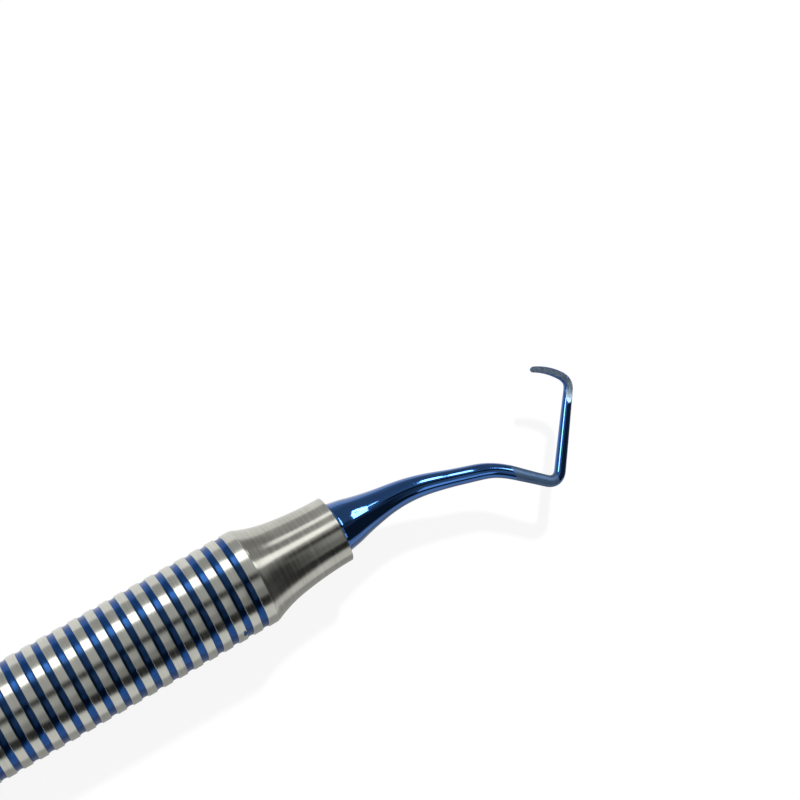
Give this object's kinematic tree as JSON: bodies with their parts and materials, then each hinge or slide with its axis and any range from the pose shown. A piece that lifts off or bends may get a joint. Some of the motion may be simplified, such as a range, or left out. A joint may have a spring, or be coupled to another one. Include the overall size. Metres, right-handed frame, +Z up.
{
  "type": "hand scaler",
  "caption": "Double-ended dental hand scaler: hollow ringed steel handle with blue enamelled grooves, tapered collars and mirror-image bent blue shanks ending in small hooked blades.",
  "frame": {"origin": "middle of the handle, on its axis", "axes": "+X along the handle towards the front tip, the shanks bend in the XY plane, +Z up from the surface that the instrument lies on"},
  "size_m": [0.1772, 0.0146, 0.01],
  "materials": {
    "satin_steel": "satin, turned marks round the axis",
    "blue_enamel": "glossy enamel",
    "blue_coated_steel": "mirror-bright blue hard coating",
    "seal_rubber": "matte",
    "braze_filler": "satin"
  },
  "bodies": {
    "root": {"handle_barrel": "satin_steel", "front_grip_enamel": "blue_enamel", "front_collar": "satin_steel", "front_seal_ring": "seal_rubber", "front_filler_ring": "braze_filler", "front_working_end": "blue_coated_steel", "rear_grip_enamel": "blue_enamel", "rear_collar": "satin_steel", "rear_seal_ring": "seal_rubber", "rear_filler_ring": "braze_filler", "rear_working_end": "blue_coated_steel"}
  },
  "joints": []
}
